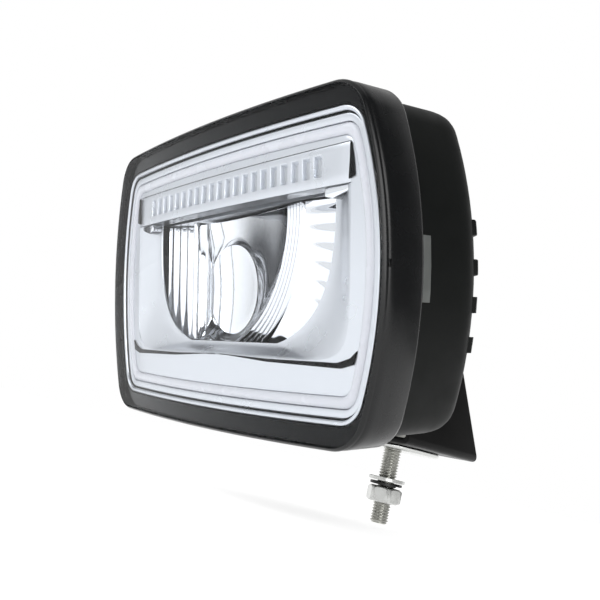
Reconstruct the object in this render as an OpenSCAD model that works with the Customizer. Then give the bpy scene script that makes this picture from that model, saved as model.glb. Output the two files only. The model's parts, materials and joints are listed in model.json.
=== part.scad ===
// Rectangular LED fog lamp on a swivelling steel bracket with an M10 stud.
// Millimetres, +Z up, front of the lamp towards -Y, +X the lamp's right as seen from the front.
// The origin is on the stud's axis, at the underside of the seat plate.
// Everything on the lamp head is drawn upright, with its own origin at the middle of the front,
// and in_head() then hangs it on the bracket's pivot at its rest tilt.

/* [Lamp head] */
// Overall width
lamp_w = 227; // [215:1:240]
// Overall height
lamp_h = 142; // [136:1:150]
// Radius of the bowed left and right sides
side_r = 174; // [160:1:220]
// Radius of the nearly straight top and bottom edges
top_r = 3600; // [2500:50:5000]
// Radius of the four corners
corner_r = 18.7; // [16:0.1:22]
// How far the middle of the front stands ahead of its sides
front_bow = 5.3; // [4:0.1:6]
// Depth of the front frame at the sides
frame_depth = 20; // [18:0.5:22]
// Tilt of the head at rest, face down
head_tilt = 15; // [5:1:20]

/* [Front] */
// Thickness of the lens
lens_t = 3; // [2.5:0.1:3.2]
// Width of the dark border at the sides
border_side = 5.4; // [5:0.1:6]
// Width of the dark border at the top and bottom
border_top = 8.8; // [8:0.1:9.5]
// Number of windows in the louvre strip
louvre_count = 21; // [15:2:21]
// Pitch of the louvre windows
louvre_pitch = 7.1; // [6.5:0.1:7.2]
// Inset of the light guide at the sides
guide_side = 10.5; // [10:0.1:12]
// Inset of the light guide at the top and bottom
guide_top = 15.5; // [14:0.1:17]
// Width of the light guide
guide_w = 4.5; // [3.5:0.1:5]

/* [Housing] */
// Step from the front frame's outline in to the housing's
housing_step = 3.5; // [3.3:0.1:4]
// Wall thickness
wall_t = 2.8; // [2.4:0.1:3]
// Height of each cooling rib
rib_h = 6.4; // [5:0.2:8]
// Half width of the driver cover on the back
box_w2 = 58; // [56:1:62]
// Depth of the driver cover
box_depth = 23.5; // [22:0.5:26]

/* [Bracket] */
// Width over the two ears
bracket_w = 80; // [80:0.5:82]
// Thickness of the steel strap
strap_t = 3; // [2.5:0.5:3]
// Front end of the base, from the stud
base_front = 30; // [28:1:32]
// Rear end of the base, from the stud
base_rear = 24; // [20:1:26]
// Radius of each ear round its pivot
ear_r = 18; // [17:0.5:19]

/* [Stud] */
// Radius of the M10 stud
stud_r = 5; // [5:5]
// Length below the seat
stud_len = 40; // [38:1:45]
// Distance from the seat down to the flat washer
grip = 15.5; // [14:0.5:17]
// Radius of the seat plate
seat_r = 25; // [22:1:27]
// Thickness of the seat plate
seat_t = 2.5; // [2:0.5:3]

/* [Hidden] */

$fn = 64;
clear = 0.2;
bow_r = (pow(lamp_w / 2, 2) + pow(front_bow, 2)) / (2 * front_bow);

// Pivot of the head, in the bracket's frame and in the head's
pivot_y = -15;
pivot_z = 36;
pivot_depth = 110.3;
pivot_drop = 52;
lug_w2 = 35.5;
lug_r = 14;
bolt_r = 4;
ear_in = bracket_w / 2 - strap_t;

// Centres of the cooling ribs, in the head's frame
rib_z = [17, 1, -14, -30];

// Screws on the flat middle of the housing's back
screw_x = 70;
screw_z = 38.6;

// U-shaped opening in the middle of the trim
u_w2 = 74.5;
u_top = 31;
u_bottom = -31;
scoop_w2 = 92;
scoop_bottom = -37;

// Flat middle of the housing's back, and the driver cover that stands on it
back_y = 62.5;
box_bottom = -29;
box_top = 40;
box_back = back_y + box_depth;

// Gland and vent on the driver cover
gland_x = 30;
gland_z = 8;
cable_r = 3.5;

module in_head() {
    translate([0, pivot_y, pivot_z]) rotate([head_tilt, 0, 0])
        translate([0, -pivot_depth, pivot_drop]) children();
}

module both_sides() {
    children();
    mirror([1, 0, 0]) children();
}

function arc(c, r, a0, a1, n) = [for (i = [0:n]) let (a = a0 + (a1 - a0) * i / n) c + r * [cos(a), sin(a)]];

// Centre of the corner circle that touches the side arc and the top arc from inside
function corner_centre(a, b, rs, rt, rc) =
    let (c1 = [a - rs, 0], c2 = [0, b - rt], d = norm(c2 - c1), r1 = rs - rc, r2 = rt - rc)
    let (m = (d * d + r1 * r1 - r2 * r2) / (2 * d), h = sqrt(r1 * r1 - m * m), u = (c2 - c1) / d)
    c1 + m * u + h * [-u[1], u[0]];

function quarter(a, b, rs, rt, rc) =
    let (c = corner_centre(a, b, rs, rt, rc))
    let (t1 = atan2(c[1], c[0] - (a - rs)), t2 = atan2(c[1] - (b - rt), c[0]))
    concat(arc([a - rs, 0], rs, 0, t1, 6), arc(c, rc, t1, t2, 8), [[0, b]]);

// Outline of the lamp's front: bowed sides, near-straight top and bottom, tangent corners
function outline(dx, dz) =
    let (a = lamp_w / 2 - dx, b = lamp_h / 2 - dz)
    let (q = quarter(a, b, side_r - dx, top_r - dz, max(6, corner_r - min(dx, dz))), n = len(q))
    concat(
        q,
        [for (i = [n - 2:-1:0]) [-q[i][0], q[i][1]]],
        [for (i = [1:n - 1]) [-q[i][0], -q[i][1]]],
        [for (i = [n - 2:-1:1]) [q[i][0], -q[i][1]]]
    );

// Stands a drawing in X and Z up as a slab from y0 to y1
module slab(y0, y1) {
    translate([0, y1, 0]) rotate([90, 0, 0]) linear_extrude(y1 - y0) children();
}

module body_slab(y0, y1, dx, dz) {
    slab(y0, y1) polygon(outline(dx, dz));
}

// All that lies behind the bowed front, moved back by y
module behind_front(y) {
    translate([0, y - front_bow + bow_r, 0]) cylinder(r = bow_r, h = 200, center = true, $fn = 720);
}

// Keeps the layer of its children between two depths behind the bowed front
module front_layer(y0, y1) {
    difference() {
        intersection() {
            children();
            behind_front(y0);
        }
        behind_front(y1);
    }
}

module rounded(w2, z0, z1, r) {
    translate([-w2, z0 + r]) square([2 * w2, z1 - z0 - 2 * r]);
    translate([-w2 + r, z0]) square([2 * w2 - 2 * r, z1 - z0]);
    for (x = [-w2 + r, w2 - r], z = [z0 + r, z1 - r]) translate([x, z]) circle(r = r);
}

// Front

module lens() {
    color([0.9, 0.93, 0.95, 0.35]) front_layer(0, lens_t) body_slab(-8, 8, 1.7, 1.7);
}

module lens_border_seal() {
    color([0.05, 0.05, 0.06]) front_layer(lens_t, lens_t + 1.2) difference() {
        body_slab(-8, 8, 1.7, 1.7);
        body_slab(-9, 9, border_side, border_top);
    }
}

module front_frame() {
    seat = lens_t + 1.2;
    color([0.1, 0.1, 0.11]) difference() {
        intersection() {
            body_slab(-8, frame_depth, 0, 0);
            behind_front(0);
        }
        difference() {
            body_slab(-9, 11, 1.5, 1.5);
            behind_front(seat);
        }
        body_slab(-9, frame_depth + 1, border_side, border_top);
        body_slab(9, frame_depth + 1, housing_step - 0.1, housing_step - 0.1);
    }
}

module trim_frame() {
    color([0.8, 0.81, 0.82]) front_layer(lens_t + 0.4, 8.5) difference() {
        body_slab(-8, 12, border_side + clear, border_top + clear);
        body_slab(-9, 13, guide_side - 0.1, guide_top - 0.1);
    }
}

module window_row(z0, z1, w) {
    for (i = [0:louvre_count - 1])
        translate([(i - (louvre_count - 1) / 2) * louvre_pitch - w / 2, z0]) square([w, z1 - z0]);
}

strip_w2 = 79;
strip_z = [33, 47];

module trim_panel() {
    color([0.76, 0.77, 0.79]) front_layer(6.5, 8.5) difference() {
        body_slab(-8, 12, guide_side + guide_w + 0.1, guide_top + guide_w + 0.1);
        slab(-9, 13) rounded(scoop_w2 - 2, scoop_bottom, u_top, 7);
        slab(-9, 13) rounded(strip_w2, strip_z[0], strip_z[1], 2);
    }
}

module louvre_strip() {
    color([0.93, 0.94, 0.95]) front_layer(4.2, 8.5) slab(-8, 12) difference() {
        rounded(strip_w2 - 0.1, strip_z[0] + 0.1, strip_z[1] - 0.1, 1.9);
        window_row(strip_z[0] + 2.5, strip_z[1] - 2.8, 4.6);
    }
}

module light_guide() {
    color([0.95, 0.96, 1, 0.6]) front_layer(5, 8.4) difference() {
        body_slab(-8, 12, guide_side, guide_top);
        body_slab(-9, 13, guide_side + guide_w, guide_top + guide_w);
    }
}

// Outline of the U-shaped opening, a squared half ellipse with a flat bottom
function u_outline(w2, deep) = concat(
    [for (i = [0:24]) let (a = 180 * i / 24, c = cos(a))
        [w2 * sign(c) * pow(abs(c), 2 / 3), max(u_bottom, u_top - deep * pow(sin(a), 2 / 3))]]
);

module u_shape(shrink) {
    polygon(u_outline(u_w2 - shrink, u_top - u_bottom + 3 - shrink));
}

module center_trim() {
    color([0.8, 0.81, 0.83]) difference() {
        union() {
            front_layer(8.6, 12) slab(-8, 16) rounded(scoop_w2, scoop_bottom - 2, u_top - 0.1, 9);
            front_layer(12, 14) slab(-8, 18) rounded(scoop_w2, scoop_bottom - 2, u_top - 0.1, 9);
        }
        front_layer(8, 12) slab(-9, 17) rounded(scoop_w2 - 2, scoop_bottom, u_top - 2, 7);
        slab(-9, 19) u_shape(0);
    }
}

// Reflectors

bowl_y = 48;
bowl_focus = 18;
bowl_w2 = 44;
bowl_z = 20;
refl_front = 12;

function bowl_radius(y) = sqrt(4 * bowl_focus * (bowl_y - y));

module bowl_profile() {
    steps = 14;
    polygon(concat(
        [for (i = [0:steps]) let (y = bowl_y - (bowl_y - refl_front) * i / steps) [bowl_radius(y), y]],
        [for (i = [steps:-1:0]) let (y = bowl_y - (bowl_y - refl_front) * i / steps)
            [bowl_radius(y) + 1.8, y + 0.4]],
        [[0, bowl_y + 1.8]]
    ));
}

module reflector_center() {
    color([0.85, 0.86, 0.88]) intersection() {
        translate([0, 0, bowl_z]) rotate([-90, 0, 0]) rotate_extrude($fn = 96) bowl_profile();
        translate([-bowl_w2, refl_front, u_bottom - 1]) cube([2 * bowl_w2, 40, u_top - u_bottom]);
    }
}

// One side mirror, a straight upright wall from the opening's side back to the divider
module wing_plate() {
    a = atan2(20, 26);
    intersection() {
        translate([bowl_w2 + 2.5, 40, 0]) rotate([0, 0, -a]) translate([0, 0, -40]) cube([33.5, 1.8, 80]);
        translate([bowl_w2 + 2.5, 14.5, u_bottom + 1]) cube([30, 40, u_top - u_bottom - 1.5]);
    }
}

module reflector_left() {
    color([0.84, 0.85, 0.87]) mirror([1, 0, 0]) wing_plate();
}

module reflector_right() {
    color([0.84, 0.85, 0.87]) wing_plate();
}

module reflector_dividers() {
    color([0.55, 0.56, 0.58]) both_sides() intersection() {
        translate([bowl_w2 + 0.3, 15, u_bottom + 0.5]) cube([1.8, 27, u_top - u_bottom - 1]);
        slab(10, 60) u_shape(0.5);
    }
}

// Electronics

shelf_w2 = 80;
shelf_t = 2;
shelf_y = [15, 52];
led_x = [-60, -20, 0, 20, 60];

module led_shelf() {
    color([0.85, 0.86, 0.87]) difference() {
        translate([-shelf_w2, shelf_y[0], u_top]) cube([2 * shelf_w2, shelf_y[1] - shelf_y[0], shelf_t]);
        for (x = led_x) translate([x - 6, 26, u_top - 1]) cube([12, 9, shelf_t + 2]);
    }
}

module main_led_board() {
    color([0.9, 0.9, 0.88]) translate([-70, 18, u_top + shelf_t]) cube([140, 30, 1.6]);
}

module main_leds() {
    color([0.95, 0.85, 0.3]) for (x = led_x) {
        translate([x - 3.5, 27, u_top + 0.6]) cube([7, 7, shelf_t - 0.6]);
        translate([x, 30.5, u_top - 0.2]) cylinder(r = 2.6, h = 0.8);
    }
}

module heat_sink() {
    z0 = u_top + shelf_t + 1.6;
    color([0.7, 0.71, 0.73]) {
        translate([-70, 18, z0]) cube([140, 30, 3]);
        for (i = [0:14]) translate([-70 + i * 9.885, 18, z0 + 3]) cube([1.6, 30, 13]);
    }
}

board_y = 12;

module position_board() {
    color([0.1, 0.35, 0.2]) difference() {
        translate([-82, board_y, 35.6]) cube([164, 1.6, 20]);
        for (x = [-76, 76]) translate([x, board_y - 1, 51]) rotate([-90, 0, 0]) cylinder(r = 1.6, h = 4);
    }
}

module position_leds() {
    color([0.95, 0.95, 0.9]) for (i = [0:11])
        translate([(i - 5.5) * 13 - 1.75, board_y - 1.1, 38.5]) cube([3.5, 1.1, 3.5]);
}

module driver_board() {
    color([0.1, 0.35, 0.2]) difference() {
        translate([-50, 66, -24]) cube([100, 1.6, 59]);
        for (x = [-46, 46], z = [-20, 31]) translate([x, 65, z]) rotate([-90, 0, 0]) cylinder(r = 1.7, h = 4);
    }
}

module driver_components() {
    color([0.2, 0.2, 0.22]) translate([0, 67.6, 0]) {
        for (x = [-34, -20]) translate([x, 0, -14]) rotate([-90, 0, 0]) cylinder(r = 5, h = 12);
        translate([-4, 0, -20]) cube([14, 9, 14]);
        translate([16, 0, -20]) cube([9, 2.2, 9]);
        for (i = [0:4]) translate([-40 + i * 9, 0, 14]) cube([4.5, 2, 6]);
        translate([4, 0, 12]) cube([10, 5, 16]);
        translate([30, 0, -8]) cube([12, 6, 6]);
    }
}

// Housing

// Depth and inset of each step of the domed shell
shell_profile = [[13.4, 3.5], [47, 3.5], [51, 4.2], [55, 6.5], [58, 10], [60, 15], [back_y, 27]];

module dome(profile, back, inset) {
    hull() for (p = profile) let (i = p[1] + inset) body_slab(p[0] + back - 0.5, p[0] + back, i, i);
}

module along_y(y0, y1, r) {
    translate([0, y0, 0]) rotate([-90, 0, 0]) cylinder(r = r, h = y1 - y0);
}

module at_screws() {
    for (x = [-screw_x, screw_x], z = [-screw_z, screw_z]) translate([x, 0, z]) children();
}

// One cooling rib, on the right-hand side, cut to the lamp's width at its height
module rib(z) {
    w = lamp_w / 2 - side_r + sqrt(side_r * side_r - z * z);
    translate([0, 0, z - rib_h / 2]) linear_extrude(rib_h) polygon([
        [box_w2 + 3, 49], [w - 8, 46], [w - 5.2, 55.5], [w - 8, 58.6], [w - 12.5, 61.2], [w - 17.5, 63.4],
        [w - 29, back_y + 2.6], [box_w2 + 3, back_y + 2.6]
    ]);
}

module rear_housing() {
    extra = housing_step - 3.5;
    color([0.1, 0.11, 0.11]) difference() {
        union() {
            dome(shell_profile, 0, extra);
            both_sides() for (z = rib_z) rib(z);
        }
        dome(shell_profile, -wall_t, extra + wall_t);
        slab(50, 70) rounded(box_w2 - 9, box_bottom + 6, box_top - 6, 6);
        at_screws() along_y(50, 70, 2.2);
    }
}

module driver_box(y0, back, inset, r) {
    hull() {
        slab(y0, back - 6) rounded(box_w2 - inset, box_bottom + inset, box_top - inset, r);
        slab(y0, back) rounded(box_w2 - inset - 4, box_bottom + inset + 4, box_top - inset - 4, r - 2);
    }
}

module driver_cover() {
    color([0.1, 0.11, 0.11]) difference() {
        driver_box(back_y, box_back, 0, 12);
        driver_box(back_y - 1, box_back - wall_t, wall_t, 10);
        translate([gland_x, 0, gland_z]) along_y(70, 100, 8);
        translate([-gland_x, 0, gland_z]) along_y(70, 100, 4);
    }
}

// Side view of the block that carries the pivot
module block_side(d) {
    polygon([[48, -31 - d], [92, -31 - d], [112 - d, -38.5 - 0.4 * d], [118 - d, -46], [118 - d, -56],
        [110.3, -66 + d], [48, -60 + d]]);
}

module along_x(w2) {
    rotate([90, 0, 90]) translate([0, 0, -w2]) linear_extrude(2 * w2) children();
}

module at_pivot(x0, x1, r) {
    translate([x0, pivot_depth, -pivot_drop]) rotate([0, 90, 0]) cylinder(r = r, h = x1 - x0);
}

module pivot_block() {
    color([0.1, 0.11, 0.11]) difference() {
        union() {
            difference() {
                union() {
                    along_x(lug_w2) block_side(0);
                    at_pivot(-lug_w2, lug_w2, lug_r);
                }
                along_x(lug_w2 - 3.5) block_side(3.5);
            }
            both_sides() at_pivot(17.5, lug_w2, lug_r);
        }
        dome(shell_profile, 0, housing_step - 3.5);
        both_sides() at_pivot(21.5, lug_w2 + 1, 6.5);
    }
}

module housing_seal() {
    color([0.06, 0.06, 0.06]) difference() {
        body_slab(9.2, 12.9, housing_step, housing_step);
        body_slab(9, 13, housing_step + wall_t, housing_step + wall_t);
    }
}

module side_clips() {
    color([0.5, 0.52, 0.51]) difference() {
        body_slab(frame_depth + 0.1, frame_depth + 6.5, housing_step - 0.6, housing_step - 0.6);
        body_slab(frame_depth, frame_depth + 7, housing_step, housing_step);
        translate([-120, 0, 11]) cube([240, 40, 80]);
        translate([-120, 0, -94]) cube([240, 40, 80]);
    }
}

module housing_screws() {
    color([0.6, 0.61, 0.62]) at_screws() difference() {
        union() {
            along_y(50, back_y, 2);
            along_y(back_y, back_y + 3, 4);
        }
        translate([0, back_y + 1.2, 0]) rotate([-90, 0, 0]) cylinder(r = 1.9, h = 3, $fn = 6);
    }
}

module on_back(x) {
    translate([x, box_back, gland_z]) rotate([-90, 0, 0]) children();
}

module cable_gland_body() {
    color([0.12, 0.12, 0.12]) on_back(gland_x) difference() {
        union() {
            cylinder(r = 11, h = 5, $fn = 6);
            translate([0, 0, 5]) cylinder(r = 8, h = 7);
            translate([0, 0, -6]) cylinder(r = 7.9, h = 6);
        }
        translate([0, 0, -7]) cylinder(r = 5.5, h = 20);
    }
}

module cable_gland_nut() {
    color([0.14, 0.14, 0.14]) on_back(gland_x) difference() {
        union() {
            translate([0, 0, 5.5]) cylinder(r = 10.6, h = 8, $fn = 6);
            translate([0, 0, 13.5]) cylinder(r1 = 9.1, r2 = 6.8, h = 4.5);
        }
        translate([0, 0, 5]) cylinder(r = 8.1, h = 7.2);
        translate([0, 0, 12]) cylinder(r = 5.5, h = 7);
    }
}

module cable_gland_grommet() {
    color([0.05, 0.05, 0.05]) on_back(gland_x) difference() {
        translate([0, 0, -5]) cylinder(r = 5.45, h = 23.5);
        translate([0, 0, -6]) cylinder(r = cable_r, h = 26);
    }
}

module breather_vent() {
    color([0.08, 0.08, 0.08]) on_back(-gland_x) {
        translate([0, 0, -3.5]) cylinder(r = 3.95, h = 3.5);
        difference() {
            cylinder(r = 8, h = 4.5);
            for (a = [0:60:300]) rotate([0, 0, a]) translate([6, -0.8, 1.2]) cube([3, 1.6, 1.6]);
        }
    }
}

// Pivot

module pivot_inserts() {
    color([0.75, 0.62, 0.35]) both_sides() difference() {
        at_pivot(21.5, lug_w2, 6.5);
        at_pivot(21, lug_w2 + 1, bolt_r);
    }
}

module pivot_spacers() {
    color([0.1, 0.1, 0.1]) both_sides() difference() {
        at_pivot(lug_w2, ear_in, 12);
        at_pivot(lug_w2 - 1, ear_in + 1, bolt_r + 0.1);
    }
}

module pivot_washers() {
    color([0.7, 0.71, 0.72]) both_sides() difference() {
        at_pivot(bracket_w / 2, bracket_w / 2 + 1.6, 8.5);
        at_pivot(bracket_w / 2 - 1, bracket_w / 2 + 2, bolt_r + 0.1);
    }
}

module pivot_bolts() {
    head_x = bracket_w / 2 + 1.6;
    color([0.68, 0.69, 0.7]) both_sides() {
        at_pivot(22, head_x, bolt_r);
        translate([head_x, pivot_depth, -pivot_drop]) rotate([0, 90, 0])
            cylinder(r = 13 / sqrt(3), h = 5.3, $fn = 6);
    }
}

// Bracket and stud

module strap_section() {
    difference() {
        rounded(bracket_w / 2, seat_t, 90, 4);
        rounded(bracket_w / 2 - strap_t, seat_t + strap_t, 100, 1);
    }
}

module ear_side() {
    translate([pivot_y, pivot_z]) circle(r = ear_r);
    // The straight flanks touch the ear's circle
    polygon([[-base_front, 0], [base_rear + 1.5, 0], [pivot_y + ear_r * cos(29), pivot_z + ear_r * sin(29)],
        [pivot_y, pivot_z], [pivot_y - ear_r * cos(5), pivot_z - ear_r * sin(5)]]);
}

module mounting_bracket() {
    color([0.03, 0.03, 0.03]) difference() {
        intersection() {
            slab(-60, 60) strap_section();
            along_x(60) ear_side();
        }
        cylinder(r = stud_r + 0.05, h = 20, center = true);
        translate([-60, pivot_y, pivot_z]) rotate([0, 90, 0]) cylinder(r = bolt_r + 0.05, h = 120);
    }
}

module seat_plate() {
    color([0.72, 0.73, 0.72]) difference() {
        cylinder(r = seat_r, h = seat_t);
        translate([0, 0, -1]) cylinder(r = stud_r, h = 5);
    }
}

module mounting_stud() {
    color([0.66, 0.67, 0.68]) {
        translate([0, 0, -stud_len]) cylinder(r1 = stud_r - 1, r2 = stud_r, h = 1);
        translate([0, 0, 1 - stud_len]) cylinder(r = stud_r, h = stud_len - 1 + seat_t + strap_t);
        translate([0, 0, seat_t + strap_t]) cylinder(r1 = 10, r2 = 6, h = 4.5);
    }
}

module ring(z, h, r_out) {
    difference() {
        translate([0, 0, z - h]) cylinder(r = r_out, h = h);
        translate([0, 0, z - h - 1]) cylinder(r = stud_r + 0.08, h = h + 2);
    }
}

flat_t = 2;
spring_t = 3;

module flat_washer() {
    color([0.7, 0.7, 0.68]) ring(-grip, flat_t, 10);
}

module spring_washer() {
    color([0.25, 0.25, 0.25]) difference() {
        ring(-grip - flat_t, spring_t, 8.8);
        translate([4, -0.6, -grip - flat_t - spring_t - 1]) cube([6, 1.2, spring_t + 2]);
    }
}

module hex_nut() {
    color([0.7, 0.71, 0.72]) difference() {
        translate([0, 0, -grip - flat_t - spring_t - 8.4]) cylinder(r = 17 / sqrt(3), h = 8.4, $fn = 6);
        translate([0, 0, -grip - flat_t - spring_t - 9]) cylinder(r = stud_r + 0.05, h = 10);
    }
}

in_head() lens();
in_head() lens_border_seal();
in_head() front_frame();
in_head() housing_seal();
in_head() rear_housing();
in_head() driver_cover();
in_head() pivot_block();
in_head() side_clips();
in_head() housing_screws();
in_head() trim_frame();
in_head() trim_panel();
in_head() center_trim();
in_head() louvre_strip();
in_head() light_guide();
in_head() reflector_center();
in_head() reflector_left();
in_head() reflector_right();
in_head() reflector_dividers();
in_head() led_shelf();
in_head() main_led_board();
in_head() main_leds();
in_head() heat_sink();
in_head() position_board();
in_head() position_leds();
in_head() driver_board();
in_head() driver_components();
in_head() cable_gland_body();
in_head() cable_gland_nut();
in_head() cable_gland_grommet();
in_head() breather_vent();
in_head() pivot_inserts();
in_head() pivot_spacers();
in_head() pivot_washers();
in_head() pivot_bolts();
mounting_bracket();
seat_plate();
mounting_stud();
flat_washer();
spring_washer();
hex_nut();
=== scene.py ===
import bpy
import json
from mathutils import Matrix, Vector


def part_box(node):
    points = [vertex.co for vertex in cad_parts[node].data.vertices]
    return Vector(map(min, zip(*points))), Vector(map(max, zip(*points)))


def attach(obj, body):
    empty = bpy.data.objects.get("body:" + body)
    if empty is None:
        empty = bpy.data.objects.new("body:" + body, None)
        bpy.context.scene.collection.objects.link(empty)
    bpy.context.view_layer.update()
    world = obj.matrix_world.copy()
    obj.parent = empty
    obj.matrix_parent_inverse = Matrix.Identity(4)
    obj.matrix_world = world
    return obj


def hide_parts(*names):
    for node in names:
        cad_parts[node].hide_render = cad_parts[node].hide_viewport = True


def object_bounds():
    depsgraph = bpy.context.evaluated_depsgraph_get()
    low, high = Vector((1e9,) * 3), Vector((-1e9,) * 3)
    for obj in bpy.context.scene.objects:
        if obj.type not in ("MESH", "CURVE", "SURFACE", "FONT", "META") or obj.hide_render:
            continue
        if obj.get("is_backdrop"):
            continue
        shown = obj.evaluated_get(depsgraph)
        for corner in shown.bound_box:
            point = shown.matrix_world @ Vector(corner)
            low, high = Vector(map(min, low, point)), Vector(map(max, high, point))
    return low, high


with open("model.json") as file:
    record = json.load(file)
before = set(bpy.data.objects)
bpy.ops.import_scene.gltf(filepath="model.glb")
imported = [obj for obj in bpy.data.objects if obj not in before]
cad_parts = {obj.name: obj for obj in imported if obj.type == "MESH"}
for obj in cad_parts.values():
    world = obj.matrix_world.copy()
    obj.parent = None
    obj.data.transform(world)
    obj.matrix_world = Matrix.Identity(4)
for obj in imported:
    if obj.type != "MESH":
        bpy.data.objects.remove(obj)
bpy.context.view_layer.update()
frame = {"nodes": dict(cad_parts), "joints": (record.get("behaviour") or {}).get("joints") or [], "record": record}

import json
import math
from types import SimpleNamespace

import bmesh
import bpy
from bpy.props import FloatProperty, IntProperty, PointerProperty, StringProperty
from mathutils import Euler, Matrix, Vector

bl_info = {
    "name": "Fog lamp",
    "version": (1, 0, 0),
    "blender": (4, 5, 0),
    "location": "View3D > Sidebar > Fog lamp",
    "description": "Rectangular LED fog lamp on a swivelling steel bracket, modelled round its CAD frame",
    "category": "Object",
}

# Every piece is modelled in millimetres. One on the lamp head is modelled upright, from the middle of
# the lamp's front, and one on the bracket or the stud in the frame's own axes. settle() puts it in
# place in metres.
MM = 0.001
JOINTS = {joint["name"]: joint for joint in frame["joints"]}
ENTRY = next(m for m in frame["record"]["mounts"] if m["name"] == "cable_entry")
TILT = math.atan2(ENTRY["axis"][2], ENTRY["axis"][1])
PIVOT_DEPTH, PIVOT_DROP = 110.3, 52.0
COVER_BACK = 86.0
SCREWS = [(x, z) for x in (-70, 70) for z in (-38.6, 38.6)]
BASE = Matrix.Scale(MM, 4)
HEAD = (Matrix.Translation(JOINTS["head_tilt"]["pos_m"]) @ Matrix.Rotation(TILT, 4, "X")
        @ Matrix.Translation((0, -PIVOT_DEPTH * MM, PIVOT_DROP * MM)) @ BASE)
DOWN = math.pi / 2
ABOUT_Y = Matrix.Rotation(-DOWN, 4, "X")
ABOUT_X = Matrix.Rotation(DOWN, 4, "Y")


def width_of(node):
    """Width of a CAD node from side to side, in metres."""
    low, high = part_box(node)
    return round(high[0] - low[0], 6)


def shape():
    """The lamp's sizes, in millimetres."""
    group = bpy.context.scene.fog_shape
    sizes = {key: getattr(group, key) for key in FogShape.__annotations__}
    return SimpleNamespace(**{k: round(v / MM, 3) if isinstance(v, float) else v for k, v in sizes.items()})


# Modelling

def deselect():
    bpy.ops.object.select_all(action="DESELECT")


def pick(obj):
    """Makes obj the only selected object."""
    deselect()
    obj.select_set(True)
    bpy.context.view_layer.objects.active = obj


def loft(name, rings, capped=True, looped=False):
    """A circle extruded ring by ring, each ring's points then moved to their place."""
    deselect()
    bpy.ops.mesh.primitive_circle_add(vertices=len(rings[0]), radius=1)
    obj = bpy.context.object
    obj.name = obj.data.name = name
    bpy.ops.object.mode_set(mode="EDIT")
    bpy.ops.mesh.select_mode(type="VERT")
    mesh = bmesh.from_edit_mesh(obj.data)
    station = mesh.verts.layers.int.new("station")
    for i, vert in enumerate(mesh.verts):
        vert[station] = i
        vert.co = rings[0][i]
    bpy.ops.mesh.select_all(action="SELECT")
    if capped and not looped:
        bpy.ops.mesh.edge_face_add()
    for ring in rings[1:] + (rings[:1] if looped else []):
        bpy.ops.mesh.extrude_region_move()
        mesh = bmesh.from_edit_mesh(obj.data)
        station = mesh.verts.layers.int["station"]
        for vert in mesh.verts:
            if vert.select:
                vert.co = ring[vert[station]]
    bpy.ops.mesh.select_all(action="SELECT")
    bpy.ops.mesh.remove_doubles(threshold=1e-4)
    bpy.ops.mesh.normals_make_consistent(inside=False)
    bpy.ops.object.mode_set(mode="OBJECT")
    return obj


def modify(obj, kind, **settings):
    """Adds a modifier to obj and applies it."""
    pick(obj)
    made = obj.modifiers.new(kind, kind)
    for key, value in settings.items():
        setattr(made, key, value)
    bpy.ops.object.modifier_apply(modifier=made.name)
    return obj


def bevel(obj, width, segments=3, angle=40):
    """Rounds the edges of obj that turn by more than angle."""
    return modify(obj, "BEVEL", width=width, segments=segments, limit_method="ANGLE",
                  angle_limit=math.radians(angle), use_clamp_overlap=True)


def boolean(obj, tool, operation="DIFFERENCE"):
    """Cuts tool out of obj, or keeps only what the two share, and removes tool."""
    modify(obj, "BOOLEAN", object=tool, operation=operation, solver="EXACT")
    bpy.data.objects.remove(tool)
    return obj


def block(name, low, high, width=0.0, segments=3):
    """A box between two corners, its edges rounded."""
    deselect()
    size = [b - a for a, b in zip(low, high)]
    bpy.ops.mesh.primitive_cube_add(size=1, location=[(a + b) / 2 for a, b in zip(low, high)])
    obj = bpy.context.object
    obj.name = obj.data.name = name
    obj.scale = size
    bpy.ops.object.transform_apply(location=True, rotation=True, scale=True)
    return bevel(obj, width, segments) if width else obj


def join(name, objs):
    """Makes one object of several."""
    deselect()
    for obj in objs:
        obj.select_set(True)
    bpy.context.view_layer.objects.active = objs[0]
    bpy.ops.object.join()
    objs[0].name = objs[0].data.name = name
    return objs[0]


def place(obj, matrix):
    """Moves obj's mesh by matrix, leaving the object itself at the origin."""
    pick(obj)
    obj.matrix_world = matrix @ obj.matrix_world
    bpy.ops.object.transform_apply(location=True, rotation=True, scale=True)
    return obj


def face_out(obj):
    """Turns every face of obj outwards."""
    pick(obj)
    bpy.ops.object.mode_set(mode="EDIT")
    bpy.ops.mesh.select_all(action="SELECT")
    bpy.ops.mesh.normals_make_consistent(inside=False)
    bpy.ops.object.mode_set(mode="OBJECT")


def cut_off(obj, point, normal, fill):
    """Removes what lies beyond a plane, on the side that its normal points to."""
    pick(obj)
    bpy.ops.object.mode_set(mode="EDIT")
    bpy.ops.mesh.select_all(action="SELECT")
    bpy.ops.mesh.bisect(plane_co=point, plane_no=normal, use_fill=fill, clear_outer=True)
    bpy.ops.object.mode_set(mode="OBJECT")


def mirrored(obj):
    """Adds obj's mirror image across X = 0 to it."""
    pick(obj)
    bpy.ops.object.duplicate()
    other = bpy.context.object
    bpy.ops.transform.resize(value=(-1, 1, 1), center_override=(0, 0, 0))
    bpy.ops.object.transform_apply(location=True, rotation=True, scale=True)
    face_out(other)
    return join(obj.name, [obj, other])


def circle(r, y, centre=(0, 0), count=144):
    """Ring of points upright round a centre in X and Z, at a depth."""
    turns = (2 * math.pi * k / count for k in range(count))
    return [Vector((centre[0] + r * math.cos(a), y, centre[1] + r * math.sin(a))) for a in turns]


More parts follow.
